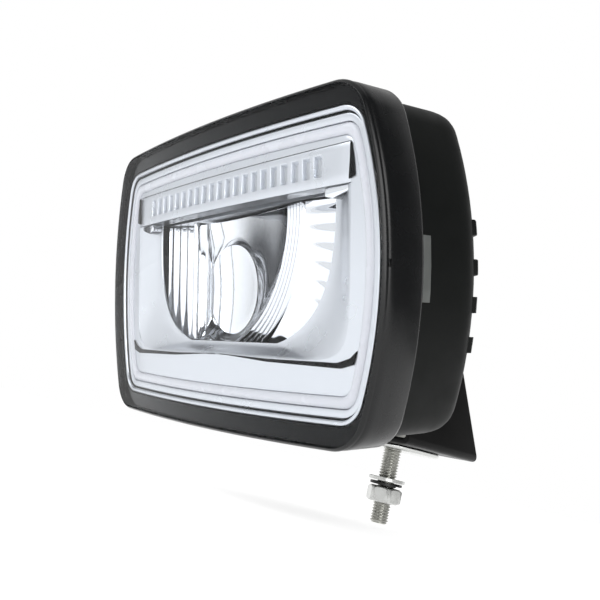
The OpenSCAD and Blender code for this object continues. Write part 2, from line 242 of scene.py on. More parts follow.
def lathe(name, profile, count=96, looped=False):
    """A profile of (radius, height) pairs turned about Z. A radius may be a function of the angle."""
    rings = []
    for radius, height in profile:
        ring = []
        for i in range(count):
            a = 2 * math.pi * i / count
            r = radius(a) if callable(radius) else radius
            ring.append(Vector((r * math.cos(a), r * math.sin(a), height)))
        rings.append(ring)
    return loft(name, rings, looped=looped)


def hexagon(flats, limit):
    """Radius of a hexagon across its flats, turned down to a limit as by a chamfer."""
    def radius(a):
        turn = (a + math.pi / 6) % (math.pi / 3) - math.pi / 6
        return min(flats / 2 / math.cos(turn), limit)
    return radius


def hex_profile(flats, low, high, chamfer, both=True):
    """Sides of a hexagonal head or nut, from low to high, with one turned chamfer or both."""
    corner = flats / math.sqrt(3)
    steps = [(chamfer * k / 4, hexagon(flats, corner - chamfer * (1 - k / 4) * 1.5)) for k in range(5)]
    bottom = [(radius, low + d) for d, radius in steps] if both else [(hexagon(flats, corner), low)]
    return bottom + [(radius, high - d) for d, radius in reversed(steps)]


def settle(obj, matrix, body, surface, nodes=(), angle=32):
    """Puts a finished piece in place, smooths it and gives it its surface, body and slot."""
    place(obj, matrix)
    pick(obj)
    bpy.ops.object.shade_smooth_by_angle(angle=math.radians(angle))
    if surface:
        obj.data.materials.clear()
        obj.data.materials.append(FINISHES[surface])
    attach(obj, body)
    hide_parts(*nodes)
    return obj


# Shapes that the front pieces share

def arc(centre, radius, a0, a1, count):
    """Points along an arc from one angle to another."""
    turns = (a0 + (a1 - a0) * i / count for i in range(count + 1))
    return [(centre[0] + radius * math.cos(a), centre[1] + radius * math.sin(a)) for a in turns]


def outline(dx, dz, counts=(10, 12, 12)):
    """Outline of the lamp's front inset by dx and dz: bowed sides and tangent corners."""
    s = shape()
    a, b = s.width / 2 - dx, s.height / 2 - dz
    side, top, corner = s.side_radius - dx, s.top_radius - dz, max(6, s.corner_radius - min(dx, dz))
    c1, c2 = Vector((a - side, 0)), Vector((0, b - top))
    gap = (c2 - c1).length
    r1, r2 = side - corner, top - corner
    along = (gap * gap + r1 * r1 - r2 * r2) / (2 * gap)
    u = (c2 - c1) / gap
    c = c1 + along * u + math.sqrt(r1 * r1 - along * along) * Vector((-u.y, u.x))
    t1, t2 = math.atan2(c.y, c.x - c1.x), math.atan2(c.y - c2.y, c.x)
    quarter = arc(c1, side, 0, t1, counts[0])[:-1] + arc(c, corner, t1, t2, counts[1])[:-1]
    quarter += arc(c2, top, t2, DOWN, counts[2])
    left = [(-x, z) for x, z in reversed(quarter[:-1])]
    lower = [(-x, -z) for x, z in quarter[1:]]
    right = [(x, -z) for x, z in reversed(quarter[1:-1])]
    return quarter + left + lower + right


def front(x):
    """Depth of the bowed front at x."""
    s = shape()
    radius = ((s.width / 2) ** 2 + s.bow ** 2) / (2 * s.bow)
    return -s.bow + radius - math.sqrt(radius * radius - min(abs(x), s.width / 2) ** 2)


def bowed(points, depth, follow=1.0, scale=1.0):
    """Stands an outline up at a depth behind the bowed front."""
    return [Vector((x * scale, depth + follow * front(x * scale), z * scale)) for x, z in points]


def band(name, profile):
    """A closed band round the front. Each profile point is inset x, inset z, depth and bow."""
    return loft(name, [bowed(outline(dx, dz), y, k) for dx, dz, y, k in profile], looped=True)


def between(outer, inner, profile):
    """Profile points given as a share of the way from one inset to another, and a depth."""
    (x0, z0), (x1, z1) = outer, inner
    return [(x0 + (x1 - x0) * t, z0 + (z1 - z0) * t, y, 1) for t, y in profile]


def plate(name, inset, depth, thickness, edge=0.3):
    """A bowed plate inside an outline, its outer edge eased."""
    shrink = (0.985, 0.95, 0.88, 0.76, 0.6, 0.42, 0.22, 0.03)
    near, far = outline(inset[0] + edge, inset[1] + edge), outline(*inset)
    rings = [bowed(near, depth, scale=s) for s in reversed(shrink)]
    rings += [bowed(near, depth), bowed(far, depth + edge), bowed(far, depth + thickness - edge),
              bowed(near, depth + thickness)]
    rings += [bowed(near, depth + thickness, scale=s) for s in shrink]
    return loft(name, rings)


def prism(name, points, near, far):
    """Outline in X and Z carried from one depth to another along the bowed front."""
    return loft(name, [bowed(points, y) for y in (near, far)])


def scoop(width, top, deep, power, floor, count=136):
    """Ring of a squared half ellipse hanging from a straight top edge, cut off at a floor."""
    turn = count * 3 // 4
    points = []
    for i in range(turn + 1):
        a = math.pi * i / turn
        c, s = math.cos(a), math.sin(a)
        points.append((math.copysign(abs(c) ** power, c) * width, max(floor, top - deep * s ** power)))
    rest = count - turn
    points += [(-width + 2 * width * i / rest, top) for i in range(1, rest)]
    return points


# Finishes

FINISHES = {}


def linear(code):
    """Linear colour of an sRGB hex code."""
    parts = [int(code[i:i + 2], 16) / 255 for i in (1, 3, 5)]
    return tuple(p / 12.92 if p <= 0.04045 else ((p + 0.055) / 1.055) ** 2.4 for p in parts) + (1,)


def add(tree, kind, links=None, values=None, **settings):
    """Adds one node with its settings, its fixed values and its links."""
    made = tree.nodes.new("ShaderNode" + kind)
    for key, value in settings.items():
        setattr(made, key, value)
    for key, value in (values or {}).items():
        made.inputs[key].default_value = value
    for key, socket in (links or {}).items():
        tree.links.new(socket, made.inputs[key])
    return made


def finish(name, code, rough, spread=0.06, patch=8.0, grain=0.5, depth=0.01, stretch=(1, 1, 1), shade=0.0,
           specular=0.5, **values):
    """A surface whose roughness varies in patches and whose grain is a fine bump.

    patch, grain and depth are in millimetres, spread is how far the roughness varies, and shade how far
    the colour does.
    """
    material = bpy.data.materials.new(name)
    material.use_nodes = True
    tree = material.node_tree
    tree.nodes.clear()
    coords = add(tree, "TexCoord").outputs["Object"]
    along = add(tree, "Mapping", {"Vector": coords}, {"Scale": stretch}).outputs["Vector"]
    patches = add(tree, "TexNoise", {"Vector": along}, {"Scale": 1 / (patch * MM), "Detail": 3.0})
    fine = add(tree, "TexNoise", {"Vector": along}, {"Scale": 1 / (grain * MM), "Detail": 2.0})
    rough_map = add(tree, "MapRange", {"Value": patches.outputs["Fac"]},
                    {"From Min": 0.3, "From Max": 0.7, "To Min": rough - spread, "To Max": rough + spread})
    bump = add(tree, "Bump", {"Height": fine.outputs["Fac"]}, {"Strength": 0.5, "Distance": depth * MM})
    links = {"Roughness": rough_map.outputs["Result"], "Normal": bump.outputs["Normal"]}
    colour = linear(code)
    if shade:
        darker, lighter = ([min(1, c * k) for c in colour[:3]] + [1] for k in (1 - shade, 1 + shade))
        tint = add(tree, "Mix", {"Factor": patches.outputs["Fac"]}, data_type="RGBA")
        tint.inputs["A"].default_value, tint.inputs["B"].default_value = darker, lighter
        links["Base Color"] = tint.outputs["Result"]
    shader = add(tree, "BsdfPrincipled", links,
                 {"Base Color": colour, "Specular IOR Level": specular, **values})
    add(tree, "OutputMaterial", {"Surface": shader.outputs[0]})
    FINISHES[name] = material
    return material


def make_mirror_with_painted_shade(name, code, painted_shade_code, low, high):
    """Vacuum-metallised mirror with painted shade: sharp reflections, its colour fading to dark grey where it
    turns from the camera.
    """
    tree = finish(name, code, rough=0.05, spread=0.02, patch=12, grain=3, Metallic=1.0).node_tree
    shader = next(n for n in tree.nodes if n.type == "BSDF_PRINCIPLED")
    # Painted shade: the base colour goes from chrome to dark grey as the surface turns edge-on to the camera.
    slant = add(tree, "LayerWeight", values={"Blend": 0.5}).outputs["Facing"]
    turn = add(tree, "MapRange", {"Value": slant}, {"From Min": low, "From Max": high},
               interpolation_type="SMOOTHSTEP")
    tint = add(tree, "Mix", {"Factor": turn.outputs["Result"]}, data_type="RGBA")
    tint.inputs["A"].default_value, tint.inputs["B"].default_value = linear(code), linear(painted_shade_code)
    tree.links.new(tint.outputs["Result"], shader.inputs["Base Color"])


def make_lens(name, code):
    """Hard-coated clear polycarbonate: you see straight through it, with a soft window reflection."""
    material = bpy.data.materials.new(name)
    material.use_nodes = True
    tree = material.node_tree
    tree.nodes.clear()
    coords = add(tree, "TexCoord").outputs["Object"]
    haze = add(tree, "TexNoise", {"Vector": coords}, {"Scale": 1 / (30 * MM), "Detail": 1.0})
    rough = add(tree, "MapRange", {"Value": haze.outputs["Fac"]}, {"To Min": 0.01, "To Max": 0.04})
    clear = add(tree, "BsdfTransparent", values={"Color": linear(code)})
    gloss = add(tree, "BsdfGlossy", {"Roughness": rough.outputs["Result"]}, {"Color": (1, 1, 1, 1)})
    # Reflection rises with the fifth power of the slant, alike on both faces of the sheet.
    slant = add(tree, "LayerWeight", values={"Blend": 0.5}).outputs["Facing"]
    rise = add(tree, "Math", {0: slant}, {1: 5.0}, operation="POWER")
    share = add(tree, "MapRange", {"Value": rise.outputs[0]}, {"To Min": 0.008, "To Max": 0.4})
    mix = add(tree, "MixShader", {0: share.outputs[0], 1: clear.outputs[0], 2: gloss.outputs[0]})
    add(tree, "OutputMaterial", {"Surface": mix.outputs[0]})
    FINISHES[name] = material


class FogShape(bpy.types.PropertyGroup):
    """Sizes of the lamp."""
    width: FloatProperty(name="Width", description="Overall width of the front",
                         default=width_of("front_frame"), unit="LENGTH")
    height: FloatProperty(name="Height", description="Overall height of the upright front",
                          default=0.142, unit="LENGTH")
    side_radius: FloatProperty(name="Side radius", description="Radius of the bowed sides",
                               default=0.174, unit="LENGTH")
    top_radius: FloatProperty(name="Top radius", description="Radius of the top and bottom edges",
                              default=3.6, unit="LENGTH")
    corner_radius: FloatProperty(name="Corner radius", description="Radius of the corners",
                                 default=0.0187, unit="LENGTH")
    bow: FloatProperty(name="Bow", description="How far the middle of the front stands forward",
                       default=0.0053, unit="LENGTH")
    frame_depth: FloatProperty(name="Frame depth", description="Depth of the front frame",
                               default=0.02, unit="LENGTH")
    step: FloatProperty(name="Step", description="Step from the frame in to the housing",
                        default=0.0035, unit="LENGTH")
    border_side: FloatProperty(name="Side border", description="Black border at the sides",
                               default=0.0054, unit="LENGTH")
    border_top: FloatProperty(name="Top border", description="Black border at top and bottom",
                              default=0.0088, unit="LENGTH")
    windows: IntProperty(name="Windows", description="Windows in the louvre strip", default=21, min=1)
    pitch: FloatProperty(name="Pitch", description="Pitch of the louvre windows",
                         default=0.0071, unit="LENGTH")
    rib_height: FloatProperty(name="Rib height", description="Height of each cooling rib",
                              default=0.0064, unit="LENGTH")
    bracket_width: FloatProperty(name="Bracket width", description="Width over the ears",
                                 default=width_of("mounting_bracket"), unit="LENGTH")
    stud_radius: FloatProperty(name="Stud radius", description="Radius over the thread",
                               default=0.005, unit="LENGTH")
    stud_length: FloatProperty(name="Stud length", description="Length below the seat plate",
                               default=round(-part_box("mounting_stud")[0][2], 6), unit="LENGTH")
    thread_pitch: FloatProperty(name="Thread pitch", description="Pitch of the stud's thread",
                                default=0.0015, unit="LENGTH")


class FogColours(bpy.types.PropertyGroup):
    """Colours of the finishes, as sRGB hex codes."""
    moulding: StringProperty(name="Moulding", description="Front frame", default="#0f1011")
    coat: StringProperty(name="Powder coat", description="Housing", default="#0b0d0c")
    bracket: StringProperty(name="Bracket", description="Bracket's coating", default="#040404")
    silver: StringProperty(name="Silver", description="Satin metallised trim", default="#dcdee2")
    chrome: StringProperty(name="Chrome", description="Mirror-bright reflectors", default="#f4f5f7")
    zinc: StringProperty(name="Zinc", description="Plated steel", default="#c9cac8")


class FOG_OT_finishes(bpy.types.Operator):
    """Make the finishes"""
    bl_idname = "fog.finishes"
    bl_label = "Finishes"

    def execute(self, context):
        c = context.scene.fog_colours
        # Injection-moulded polycarbonate blend: satin black whose edges catch a soft grey line.
        finish("moulded_plastic", c.moulding, rough=0.26, spread=0.04, patch=14, grain=0.35, depth=0.004,
               specular=0.35)
        # Powder-coated cast aluminium: dark, with a fine pebbled texture that breaks up highlights.
        finish("powder_coat", c.coat, rough=0.5, spread=0.06, patch=10, grain=0.7, depth=0.05, specular=0.15)
        # Electro-coated steel strap: nearly black and smooth, with thin bright edges.
        finish("ecoated_steel", c.bracket, rough=0.38, spread=0.06, patch=12, grain=0.5, depth=0.01,
               specular=0.15)
        # Vacuum-metallised moulding with a satin topcoat: pale, soft reflections.
        finish("satin_metallised", c.silver, rough=0.3, spread=0.04, patch=20, grain=0.3, depth=0.003,
               Metallic=1.0)
        # Vacuum-metallised mirror: nearly perfect reflections with a faint haze, and painted shade turning it dark
        # grey edge-on.
        make_mirror_with_painted_shade("mirror_with_painted_shade", c.chrome, painted_shade_code="#3c3e43", low=0.46, high=0.6)
        # Frosted acrylic guide: milky white with a polished skin.
        finish("frosted_acrylic", "#d6d6db", rough=0.25, spread=0.05, patch=12, grain=0.8, depth=0.01,
               **{"Coat Weight": 0.6, "Coat Roughness": 0.05})
        # Diffuser behind the louvre: frosted acrylic, its pale grey partly painted shade of the recessed pockets.
        finish("diffuser_painted_shade", "#c4c6c9", rough=0.4, spread=0.05, patch=6, grain=0.8, depth=0.01)
        # Screen-printed black border and its adhesive: glossy black under the lens.
        finish("black_adhesive", "#08090a", rough=0.16, spread=0.03, patch=20, grain=4.0, depth=0.0005,
               specular=0.08)
        # Moulded rubber: matt black.
        finish("moulded_rubber", "#101011", rough=0.75, spread=0.06, patch=5, grain=0.3, depth=0.02)
        # Bright zinc plating: cool silver, slightly uneven.
        finish("bright_zinc", c.zinc, rough=0.24, spread=0.07, patch=4, grain=0.5, depth=0.006, shade=0.08,
               Metallic=1.0)
        # Rolled thread under zinc: bright crests, darker flanks.
        finish("plated_thread", "#b9b9b4", rough=0.3, spread=0.08, patch=2.5, grain=0.3, depth=0.006,
               shade=0.12, Metallic=1.0)
        # Oiled spring steel: dark grey with a dull sheen.
        finish("oiled_steel", "#3a3a3a", rough=0.42, spread=0.08, patch=3, grain=0.5, depth=0.01, shade=0.2,
               Metallic=1.0)
        # Spring steel strip, drawn lengthwise: mid grey with fine lines.
        finish("drawn_strip", "#7d807e", rough=0.42, spread=0.08, patch=3, grain=0.3, depth=0.01,
               stretch=(1, 1, 0.1), shade=0.1, Metallic=0.7)
        # Glass-filled nylon: black with a faint mottled skin.
        finish("glass_filled_nylon", "#131314", rough=0.48, spread=0.07, patch=4, grain=0.4, depth=0.02,
               shade=0.15)
        # Turned brass: warm yellow with turning marks.
        finish("turned_brass", "#c8a45c", rough=0.28, spread=0.06, patch=3, grain=0.3, depth=0.01,
               stretch=(8, 1, 1), Metallic=1.0)
        # Extruded aluminium: pale grey with lines along the fins.
        finish("extruded_aluminium", "#b4b7ba", rough=0.38, spread=0.08, patch=4, grain=0.3, depth=0.01,
               stretch=(1, 0.05, 1), Metallic=1.0)
        # Solder mask: green or white lacquer over copper.
        finish("green_mask", "#1d5b38", rough=0.32, spread=0.06, patch=6, grain=0.6, depth=0.01, shade=0.15)
        finish("white_mask", "#e6e5df", rough=0.35, spread=0.06, patch=6, grain=0.6, depth=0.01, shade=0.04)
        # Phosphor under milky silicone: pale and waxy.
        finish("phosphor_silicone", "#f4f2e6", rough=0.3, spread=0.05, patch=2, grain=0.3, depth=0.01,
               shade=0.1)
        # Moulded epoxy components: dark grey.
        finish("moulded_epoxy", "#232426", rough=0.5, spread=0.06, patch=3, grain=0.3, depth=0.01, shade=0.15)
        # Clear polycarbonate sheet: all but colourless.
        make_lens("coated_polycarbonate", "#fafbfc")
        return {"FINISHED"}


class FOG_OT_front(bpy.types.Operator):
    """Build the lens, its border and the front frame"""
    bl_idname = "fog.front"
    bl_label = "Front"

    def execute(self, context):
        s = shape()
        settle(plate("lens_cover", (1.7, 1.7), 0, 3.0, 0.4), HEAD, "head",
               "coated_polycarbonate", ["lens"], 40)
        inner = (s.border_side, s.border_top)
        near, far = 3.3, 4.15
        border = band("border_print", [(2, 2, near, 1), (*inner, near, 1), (*inner, far, 1), (2, 2, far, 1)])
        settle(border, HEAD, "head", "black_adhesive", ["lens_border_seal"])
        back, step = s.frame_depth, s.step - 0.1
        rim = [(1.55, 1.1), (1.5, 0.55), (1.35, 0.22), (1.1, 0.12), (0.78, 0.4), (0.45, 0.75), (0.2, 1.1),
               (0.08, 1.5), (0.04, 1.9)]
        groove = [(0.3, 2.1), (0.75, 2.25), (0.9, 2.5), (0.85, 2.75)]
        shoulder = [(0.6, 3.1), (0.42, 3.45), (0.25, 3.85), (0.08, 4.7), (0.0, 5.8), (0.0, 8.0)]
        profile = [(d, d, y, 1) for d, y in rim + groove + shoulder]
        profile += [(d, d, y, 0) for d, y in ((0, 9.4), (0, back - 1.3), (0.4, back - 0.2), (0.6, back),
                                              (step - 0.3, back), (step, back - 0.3), (step, 9.4))]
        profile += [(*inner, 9.2, 0), (*inner, 4.3, 1), (1.5, 1.5, 4.25, 1)]
        shell = band("frame_moulding", profile)
        for x in (-s.width / 2, s.width / 2):
            boolean(shell, block("notch", (x - 1.2, 1.6, -2.1), (x + 1.2, 3.6, 0.7), 0.3))
        settle(shell, HEAD, "head", "moulded_plastic", ["front_frame"], 40)
        return {"FINISHED"}


class FOG_OT_trim(bpy.types.Operator):
    """Build the silver trim, the louvre strip and the light guide"""
    bl_idname = "fog.trim"
    bl_label = "Trim"

    def execute(self, context):
        s = shape()
        outer, inner = (5.6, 9.0), (10.3, 15.3)
        bead = [(0, 5.4), (0.0, 4.5), (0.04, 3.95), (0.12, 3.6), (0.2, 3.5), (0.28, 3.6), (0.35, 3.95),
                (0.38, 4.6), (0.38, 5.6), (0.47, 5.6), (0.49, 5.3), (0.53, 5.15), (0.6, 5.1), (0.92, 5.3),
                (0.98, 5.45), (1, 5.8), (1, 8.4), (0, 8.4)]
        settle(band("trim_surround", between(outer, inner, bead)), HEAD, "head",
               "satin_metallised", ["trim_frame"], 50)
        cord = [(0.385, 5.5), (0.385, 4.75), (0.41, 4.6), (0.44, 4.6), (0.465, 4.75), (0.465, 5.5)]
        settle(band("surround_seal", between(outer, inner, cord)), HEAD, "head",
               "black_adhesive")
        guide = [(0, 8.3), (0, 6.3), (0.06, 5.7), (0.2, 5.2), (0.4, 5.0), (0.6, 5.0), (0.8, 5.2), (0.94, 5.7),
                 (1, 6.3), (1, 8.3)]
        settle(band("guide_ring", between((10.5, 15.5), (15.0, 20.0), guide)), HEAD, "head",
               "frosted_acrylic", ["light_guide"], 50)

        panel = plate("trim_face", (15.1, 20.1), 6.5, 2.0)
        edge = scoop(90, 47.2, 84.2, 0.16, -37)
        boolean(panel, loft("opening", [[Vector((x, y, z)) for x, z in edge] for y in (-5, 20)]))
        settle(panel, HEAD, "head", "satin_metallised", ["trim_panel"], 40)

        self.louvre(s)
        self.painted_reflection_strips()

        shares = [i / 12 for i in range(13)]
        rings = [bowed(self.throat(t), 6.6 + 6.6 * math.sin(t * DOWN) ** 1.5) for t in shares]
        lip = scoop(74.3, 31, 65, 0.667, -31)
        rings += [bowed(lip, 13.6), bowed(lip, 14.0)]
        rings += [bowed(self.throat(t), 14.2) for t in (0.9, 0.5, 0.0)]
        settle(loft("scoop_trim", rings, looped=True), HEAD, "head", "satin_metallised",
               ["center_trim"], 40)
        return {"FINISHED"}

    def throat(self, share):
        """Outline of the scoop, a share of the way in from its front edge to its lip."""
        return scoop(90 - 15.5 * share, 31, 68 - 3 * share, 0.16 + 0.507 * share, -37 + 6 * share)

    def painted_reflection_strips(self):
        """Painted dark reflections at the louvre's ends and under the scoop, and the soffit's end wedges."""
        end = [(90.3, 46.6), (89.9, 46.8), (89.7, 40), (89.2, 32.6), (92.2, 33.4), (91.8, 38)]
        # Painted reflection: solid black prisms stand where the trim shows dark reflection lines.
        low = [(2, -36.5), (40, -37.3), (84, -37.2), (91, -35.2), (94.5, -32.4), (92.6, -37.6), (86, -39.3),
               (40, -38.6)]
        dark = [mirrored(prism("end_painted_reflection", end, 5.9, 7.6)), mirrored(prism("under_painted_reflection", low, 5.9, 7.2))]
        settle(join("painted_dark_reflections", dark), HEAD, "head", "black_adhesive")
        corner = [(74.2, 30.9), (74.2, 27.6), (79, 26.4), (90.4, 29.4), (90.4, 30.9)]
        wedge = prism("soffit_wedges", corner, 7.4, 13.4)
        bevel(wedge, 0.4, 2, 30)
        settle(mirrored(wedge), HEAD, "head", "mirror_with_painted_shade")

    def louvre(self, s):
        """Plate with a row of pockets, each with a slanted top and a frosted floor."""
        half, end, slot = 89.9, 83.0, 4.6
        rows = [31.2, 35.5, 44.2, 47.0]
        centres = [(i - (s.windows - 1) / 2) * s.pitch for i in range(s.windows)]
        columns = [-half, -end] + [x + d for x in centres for d in (-slot / 2, slot / 2)] + [end, half]
        deselect()
        bpy.ops.mesh.primitive_grid_add(x_subdivisions=len(columns) - 1, y_subdivisions=3, size=2)
        obj = bpy.context.object
        obj.name = obj.data.name = "louvre_plate"
        xs = sorted({round(v.co.x, 4) for v in obj.data.vertices})
        ys = sorted({round(v.co.y, 4) for v in obj.data.vertices})
        for v in obj.data.vertices:
            x, z = columns[xs.index(round(v.co.x, 4))], rows[ys.index(round(v.co.y, 4))]
            v.co = (x, 6.5 + front(x), z)
        bpy.ops.object.mode_set(mode="EDIT")
        bpy.ops.mesh.select_mode(type="FACE")
        bpy.ops.mesh.select_all(action="DESELECT")
        mesh = bmesh.from_edit_mesh(obj.data)
        for face in mesh.faces:
            c = face.calc_center_median()
            face.select = rows[1] < c.z < rows[2] and any(abs(c.x - x) < 0.1 for x in centres)
        bmesh.update_edit_mesh(obj.data)
        obj.data.materials.append(FINISHES["satin_metallised"])
        # The pockets' floors take the diffuser, whose grey is partly painted shade.
        obj.data.materials.append(FINISHES["diffuser_painted_shade"])
        bpy.ops.mesh.extrude_region_move(TRANSFORM_OT_translate={"value": (0, 2.4, -0.5)})
        mesh = bmesh.from_edit_mesh(obj.data)
        for face in mesh.faces:
            if face.select:
                face.material_index = 1
                for v in face.verts:
                    if v.co.z > rows[2] - 1.5:
                        v.co.z -= 1.6 if v.co.x > face.calc_center_median().x else 0.2
        bmesh.update_edit_mesh(obj.data)
        bpy.ops.object.mode_set(mode="OBJECT")
        modify(obj, "SOLIDIFY", thickness=0.9, offset=-1.0)
        bevel(obj, 0.3, 2, 50)
        settle(obj, HEAD, "head", None, ["louvre_strip"], 35)


class FOG_OT_mirrors(bpy.types.Operator):
    """Build the reflectors, their dividers and the side walls"""
    bl_idname = "fog.mirrors"
    bl_label = "Reflectors"

    def execute(self, context):
        # The bright inner dish, the darker cone round it, then five ridges on the cone's rim
        dish, rim = (-25.0, -5.0), (-27.0, 26.0)
        rings = [circle(max(0.3, 2.3 * k), 27 - (k / 10) ** 2, dish) for k in range(11)]
        for t in (k / 14 for k in range(15)):
            centre = [a + (b - a) * t for a, b in zip(dish, rim)]
            sag = 1.8 * math.sin(math.pi * t) * (1 - t)
            rings.append(circle(23.3 + 36.7 * t, 25.6 - 7.9 * t - sag, centre))
        ridge = ((0.3, 0.2), (0.9, 1.5), (1.5, 1.9), (2.1, 1.5), (2.7, 0.0))
        rings += [circle(60 + 2.9 * k + d, 17.9 - 0.5 * k - rise * 0.8, rim) for k in range(5)
                  for d, rise in ridge]
        settle(self.bowl(rings), HEAD, "head", "mirror_with_painted_shade",
               ["reflector_center"], 50)
        self.fan(rim, 74.6)
        self.wing()

        post = ((0, 15.2), (0.5, 14.3), (1.5, 13.9), (2.5, 14.3), (3.0, 15.2), (3.0, 17.5), (2.2, 18.6),
                (1.9, 20.0), (1.3, 21.2), (1.9, 22.4), (2.1, 24), (1.4, 25.6), (2.0, 27.2), (2.0, 42),
                (0.6, 42), (1.0, 27.2), (0.2, 25.6), (0.6, 24), (0.2, 22.4), (0.7, 21.2), (0.2, 20),
                (0.4, 18.6), (0, 17.5))
        rings = [[Vector((-43.8 - x, y, z)) for x, y in post] for z in (-30.5, -30.2, 29.9, 30.2)]
        right = block("right_post", (44.2, 23.5, -30.4), (46.4, 42, 30.1), 0.4)
        dividers = join("divider_posts", [loft("left_post", rings), right])
        settle(dividers, HEAD, "head", "mirror_with_painted_shade", ["reflector_dividers"], 40)
        return {"FINISHED"}

    def bowl(self, rings):
        """Bowl made of rings, cut off at its sides, top and floor."""
        bowl = loft("bowl_mirror", rings, capped=False)
        for point, normal in (((64, 0, 0), (1, 0, 0)), ((-44, 0, 0), (-1, 0, 0)), ((0, 0, 30), (0, 0, 1)),
                              ((0, 0, -31.5), (0, 0, -1))):
            cut_off(bowl, point, normal, False)
        face_out(bowl)
        modify(bowl, "SOLIDIFY", thickness=1.2, offset=0.0)
        return bowl

    def fan(self, centre, start):
        """Fan of shallow flutes round the right-hand edge of the bowl."""
        rings = []
        for t in (i / 24 for i in range(25)):
            radius = start + 44 * t
            depth = 15.4 + 3.4 * math.sin(math.pi * min(1, t * 1.2))
            near, far = [], []
            for a in (math.radians(-62 + 72 * k / 96) for k in range(97)):
                x, z = centre[0] + radius * math.cos(a), centre[1] + radius * math.sin(a)
                y = depth + 0.35 * math.sin(a * 70) * math.sin(math.pi * t)
                near.append(Vector((x, y, z)))
                far.append(Vector((x, y + 1.4, z)))
            rings.append(near + far[::-1])
        obj = loft("ridged_mirror", rings)
        for low, high in (((75.4, 0, -60), (120, 60, 60)), ((0, 0, 30.2), (120, 60, 90)),
                          ((0, 0, -90), (120, 60, -31.2))):
            boolean(obj, block("cut", low, high))
        settle(obj, HEAD, "head", "mirror_with_painted_shade", ["reflector_right"], 50)

    def wing(self):
        """Curved and fluted side wall on the left."""
        rings = []
        for z in (-31 + 61.4 * k / 24 for k in range(25)):
            near, far = [], []
            for t in (i / 60 for i in range(61)):
                x, y = -47 - 28.5 * t, 41.5 - 26 * t ** 1.35 - 3 * math.sin(math.pi * t)
                near.append(Vector((x, y - 0.45 * math.sin(18 * math.pi * t), z)))
                far.append(Vector((x, y + 1.4, z)))
            rings.append(near + far[::-1])
        settle(loft("fluted_mirror", rings), HEAD, "head", "mirror_with_painted_shade",
               ["reflector_left"], 50)


class FOG_OT_housing(bpy.types.Operator):
    """Build the rear housing, the driver cover and the pivot block"""
    bl_idname = "fog.housing"
    bl_label = "Housing"

    def execute(self, context):
        s = shape()
        skin = [(13, 3.5), (30, 3.5), (44, 3.5), (47, 3.6), (49, 3.8), (51, 4.2), (53, 5.1), (55, 6.5),
                (56.6, 8.1), (58, 10), (59.2, 12.4), (60.1, 15), (60.9, 18), (61.7, 22), (62.5, 27)]
        rings = [bowed(outline(d, d), y, 0) for y, d in skin]
        rings += [bowed(outline(27, 27), 62.5, 0, k) for k in (0.8, 0.5, 0.2)]
        rings += [bowed(outline(27, 27), 59.7, 0, k) for k in (0.2, 0.5, 0.8)]
        rings += [bowed(outline(d + 2.8, d + 2.8), y - 2.8, 0) for y, d in reversed(skin[2:])]
        rings += [bowed(outline(6.3, 6.3), 13, 0)]
        shell = loft("housing_casting", rings, looped=True)
        profile = [(50, 8.0), (53, 6.3), (55.5, 5.2), (57.4, 6.4), (58.6, 8.0), (60, 10.0), (61.2, 12.5),
                   (62.5, 15), (63.4, 17.5), (64.3, 21.5), (65.1, 29)]
        ribs = []
        half = s.rib_height / 2
        for height in (17, 1, -14, -30):
            for side in (-1, 1):
                rib = loft("rib", [bowed(outline(d, d), y, 0) for y, d in profile])
                cut_off(rib, (0, 0, height + half), (0, 0, 1), True)
                cut_off(rib, (0, 0, height - half), (0, 0, -1), True)
                cut_off(rib, (side * 61, 0, 0), (-side, 0, 0), True)
                ribs.append(bevel(rib, 0.9, 3, 50))
        for x, z in SCREWS:
            hole = lathe("screw_hole", [(2.2, 50), (2.2, 61.7), (4.6, 61.7), (4.9, 63)], 48)
            boolean(shell, place(hole, Matrix.Translation((x, 0, z)) @ ABOUT_Y))
        settle(join("housing_casting", [shell, *ribs]), HEAD, "head", "powder_coat",
               ["rear_housing"], 35)

        cover = block("cover_casting", (-58, 56, -29), (58, COVER_BACK, 40))
        self.round_depth_edges(cover)
        settle(cover, HEAD, "head", "powder_coat", ["driver_cover"], 35)

        lug = arc((PIVOT_DEPTH, -PIVOT_DROP), 14, math.radians(75), math.radians(-90), 24)
        side = [(58.5, -31), (92, -31)] + lug + [(56, -60)]
        foot = loft("pivot_casting", [[Vector((x, y, z)) for y, z in side] for x in (-35.5, 35.5)])
        bevel(foot, 2.2, 4, 25)
        settle(foot, HEAD, "head", "powder_coat", ["pivot_block"], 35)
        return {"FINISHED"}

    def round_depth_edges(self, cover):
        """Rounds a box's four edges along its depth, then its back edge, and hollows it."""
        for width, test in ((12, lambda a, b: abs((a - b).y) > 5),
                            (4.5, lambda a, b: min(a.y, b.y) > COVER_BACK - 0.1)):
            pick(cover)
            bpy.ops.object.mode_set(mode="EDIT")
            bpy.ops.mesh.select_mode(type="EDGE")
            bpy.ops.mesh.select_all(action="DESELECT")
            mesh = bmesh.from_edit_mesh(cover.data)
            for edge in mesh.edges:
                edge.select = test(edge.verts[0].co, edge.verts[1].co)
            bmesh.update_edit_mesh(cover.data)
            bpy.ops.mesh.bevel(offset=width, segments=8, affect="EDGES")
            bpy.ops.object.mode_set(mode="OBJECT")
        bpy.ops.object.mode_set(mode="EDIT")
        bpy.ops.mesh.select_mode(type="FACE")
        bpy.ops.mesh.select_all(action="DESELECT")
        mesh = bmesh.from_edit_mesh(cover.data)
        for face in mesh.faces:
            face.select = face.calc_center_median().y < 56.1
        bmesh.update_edit_mesh(cover.data)
        bpy.ops.mesh.delete(type="FACE")
        bpy.ops.object.mode_set(mode="OBJECT")
        modify(cover, "SOLIDIFY", thickness=2.8, offset=-1.0)


